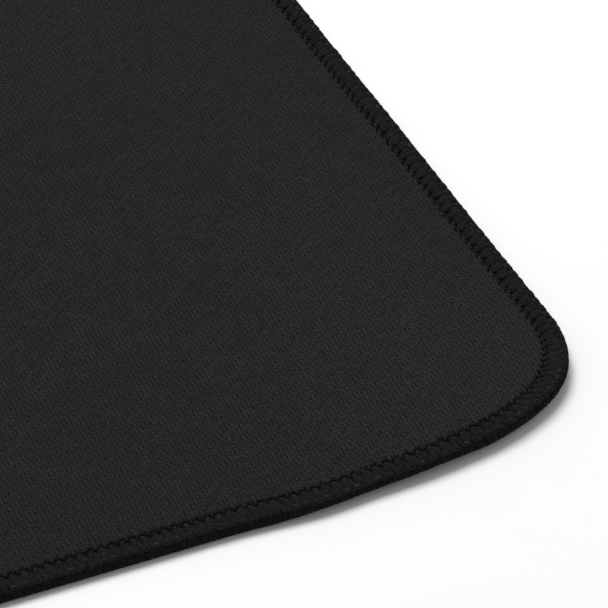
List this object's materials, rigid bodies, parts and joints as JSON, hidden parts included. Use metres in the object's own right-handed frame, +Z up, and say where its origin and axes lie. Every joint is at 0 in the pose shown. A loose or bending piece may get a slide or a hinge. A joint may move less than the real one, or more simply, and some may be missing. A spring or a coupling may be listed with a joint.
{
  "type": "mouse pad",
  "caption": "Soft rectangular desk pad for a computer mouse: woven cloth bonded to sponge rubber, rounded corners, overlock-stitched edge.",
  "frame": {"origin": "middle of the pad's underside, on the desk", "axes": "+Z up out of the cloth, +X along the long side, +Y along the short side"},
  "size_m": [0.26, 0.21, 0.003],
  "materials": {
    "sponge_rubber": "matt black open-skin sponge rubber with a fine grip pattern",
    "hot_melt_film": "thin milky adhesive film, hidden between the layers",
    "woven_polyester": "matt charcoal black twill-woven polyester",
    "polyester_thread": "black textured polyester thread with a slight sheen"
  },
  "bodies": {
    "root": {"sponge_rubber_base": "sponge_rubber", "bonding_film": "hot_melt_film", "top_cloth": "woven_polyester", "lower_looper_thread": "polyester_thread", "upper_looper_thread": "polyester_thread", "needle_thread": "polyester_thread"}
  },
  "joints": []
}
